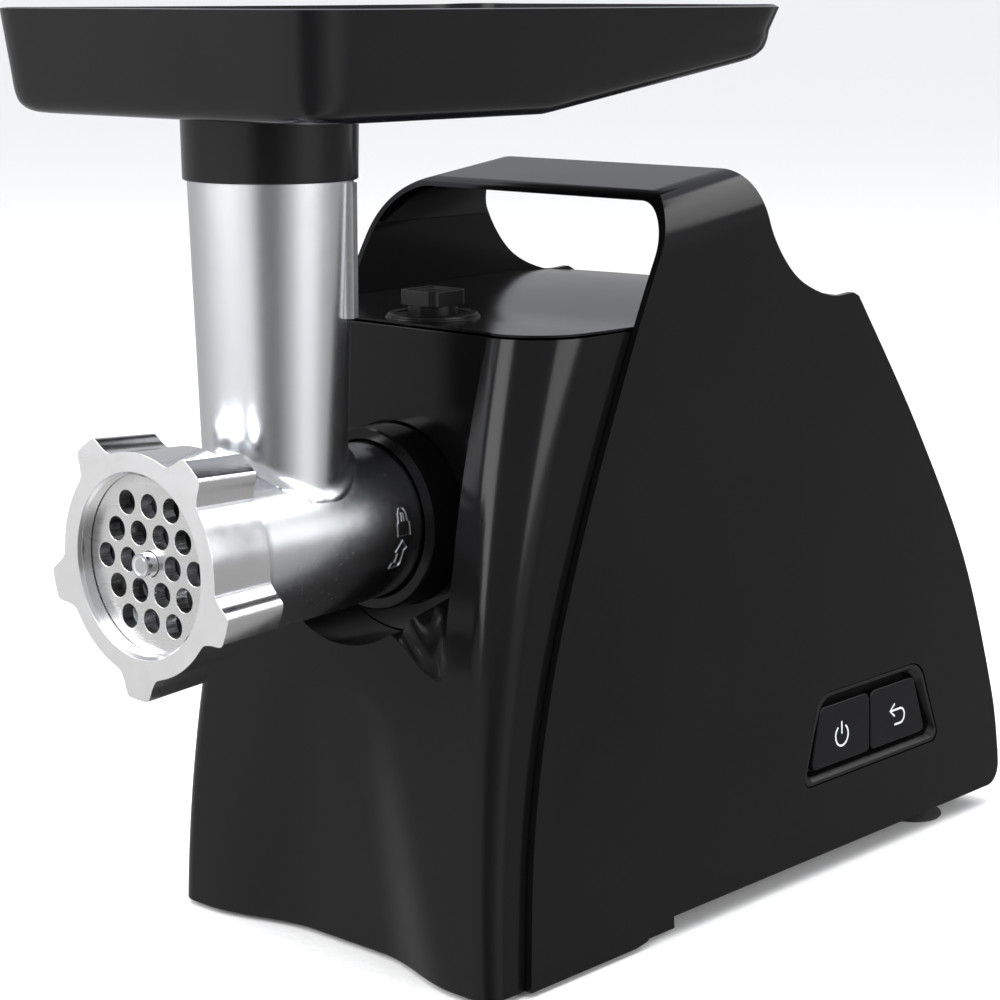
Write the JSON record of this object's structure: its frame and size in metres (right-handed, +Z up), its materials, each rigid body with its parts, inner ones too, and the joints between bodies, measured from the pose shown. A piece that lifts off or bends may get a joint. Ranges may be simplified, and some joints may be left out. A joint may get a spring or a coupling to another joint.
{
  "type": "electric meat grinder",
  "caption": "Countertop electric meat grinder: housing with carry handle, bayonet head with hopper tube, ring nut, plate, knife and auger, loading tray and geared motor.",
  "frame": {"origin": "centre of the whole machine's plan box, on the surface that the feet stand on", "axes": "+Z up, head and ring nut towards -Y, switches on the +X side; the auger turns about a line parallel to Y at x = 0, z = 0.155"},
  "size_m": [0.1658, 0.3967, 0.3328],
  "materials": {
    "gloss_black": "piano-black high gloss moulding",
    "satin_black": "satin moulding",
    "tray_black": "fine satin moulding with a soft sheen",
    "button_black": "glossy key cap",
    "cast_aluminium": "die-cast, tumble polished, fine grain",
    "polished_aluminium": "polished flanks, fine satin face",
    "bright_steel": "ground stainless",
    "steel": "turned",
    "bronze": "sintered bronze",
    "nylon": "natural nylon",
    "glass_nylon": "grey glass-filled nylon",
    "lamination": "varnished electrical steel",
    "copper": "enamelled copper wire",
    "carbon": "dull black",
    "board": "solder mask",
    "rubber": "moulded rubber"
  },
  "bodies": {
    "housing": {"side_cover": "gloss_black", "handle_liner": "satin_black", "front_fascia": "gloss_black", "top_cover": "gloss_black", "base_pan": "satin_black", "foot_front_left": "rubber", "foot_front_right": "rubber", "foot_rear_left": "rubber", "foot_rear_right": "rubber", "base_screw_front_left": "steel", "base_screw_front_right": "steel", "base_screw_rear_left": "steel", "base_screw_rear_right": "steel", "head_socket": "satin_black", "release_guide": "satin_black", "release_spring": "steel", "button_bezel": "satin_black", "on_off_switch": "carbon", "reverse_switch": "carbon", "circuit_board": "board", "gearbox_case": "glass_nylon", "gearbox_cover": "glass_nylon", "output_bush": "bronze", "second_shaft": "steel", "first_shaft": "steel", "motor_stator": "lamination", "field_coil_top": "copper", "field_coil_bottom": "copper", "motor_bracket_front": "cast_aluminium", "motor_bracket_rear": "cast_aluminium", "bearing_front": "steel", "bearing_rear": "steel", "brush_left": "carbon", "brush_right": "carbon", "brush_holder_left": "glass_nylon", "brush_holder_right": "glass_nylon", "cord_gland": "rubber"},
    "head": {"head_body": "cast_aluminium"},
    "tray": {"feed_tray": "tray_black"},
    "plate": {"grinding_plate": "bright_steel"},
    "nut": {"ring_nut": "polished_aluminium"},
    "auger": {"auger": "cast_aluminium", "auger_coupling": "steel", "knife": "bright_steel"},
    "output": {"output_gear": "nylon", "output_coupler": "steel"},
    "second": {"second_gear": "nylon"},
    "first": {"first_gear": "steel"},
    "rotor": {"motor_shaft": "steel", "armature": "lamination", "commutator": "copper", "fan": "glass_nylon"},
    "release": {"release_button": "satin_black"},
    "on_off": {"on_off_button": "button_black"},
    "reverse": {"reverse_button": "button_black"}
  },
  "joints": [
    {"name": "output_spin", "type": "hinge", "parent": "housing", "child": "output", "pos_m": [0, -0.05, 0.155], "axis": [0, 1, 0], "continuous": true},
    {"name": "auger_spin", "type": "hinge", "parent": "housing", "child": "auger", "pos_m": [0, -0.13, 0.155], "axis": [0, 1, 0], "continuous": true},
    {"name": "second_spin", "type": "hinge", "parent": "housing", "child": "second", "pos_m": [0, -0.02, 0.1175], "axis": [0, 1, 0], "continuous": true},
    {"name": "first_spin", "type": "hinge", "parent": "housing", "child": "first", "pos_m": [0, -0.01, 0.08625], "axis": [0, 1, 0], "continuous": true},
    {"name": "rotor_spin", "type": "hinge", "parent": "housing", "child": "rotor", "pos_m": [0, 0.05, 0.05925], "axis": [0, 1, 0], "continuous": true},
    {"name": "head_turn", "type": "hinge", "parent": "housing", "child": "head", "pos_m": [0, -0.09, 0.155], "axis": [0, 1, 0], "range_deg": [0, 40]},
    {"name": "tray_lift", "type": "slide", "parent": "head", "child": "tray", "axis": [0, 0, 1], "range_m": [0, 0.045]},
    {"name": "plate_travel", "type": "slide", "parent": "head", "child": "plate", "axis": [0, -1, 0], "range_m": [0, 0.0075]},
    {"name": "nut_turn", "type": "hinge", "parent": "plate", "child": "nut", "pos_m": [0, -0.186, 0.155], "axis": [0, -1, 0], "range_deg": [0, 1080]},
    {"name": "release_press", "type": "slide", "parent": "housing", "child": "release", "axis": [0, 0, -1], "range_m": [0, 0.0025], "stiffness_N_per_m": 600, "deforming": ["release_spring"]},
    {"name": "on_off_press", "type": "slide", "parent": "housing", "child": "on_off", "axis": [-0.9991, 0, -0.043], "range_m": [0, 0.0025], "stiffness_N_per_m": 600},
    {"name": "reverse_press", "type": "slide", "parent": "housing", "child": "reverse", "axis": [-0.9991, 0, -0.043], "range_m": [0, 0.0025], "stiffness_N_per_m": 600}
  ],
  "couplings": [
    {"joint": "auger_spin", "follows": "output_spin", "ratio": 1},
    {"joint": "second_spin", "follows": "output_spin", "ratio": -4},
    {"joint": "first_spin", "follows": "output_spin", "ratio": 16},
    {"joint": "rotor_spin", "follows": "output_spin", "ratio": -80},
    {"joint": "plate_travel", "follows": "nut_turn", "m_per_rad": 0.00039789}
  ]
}
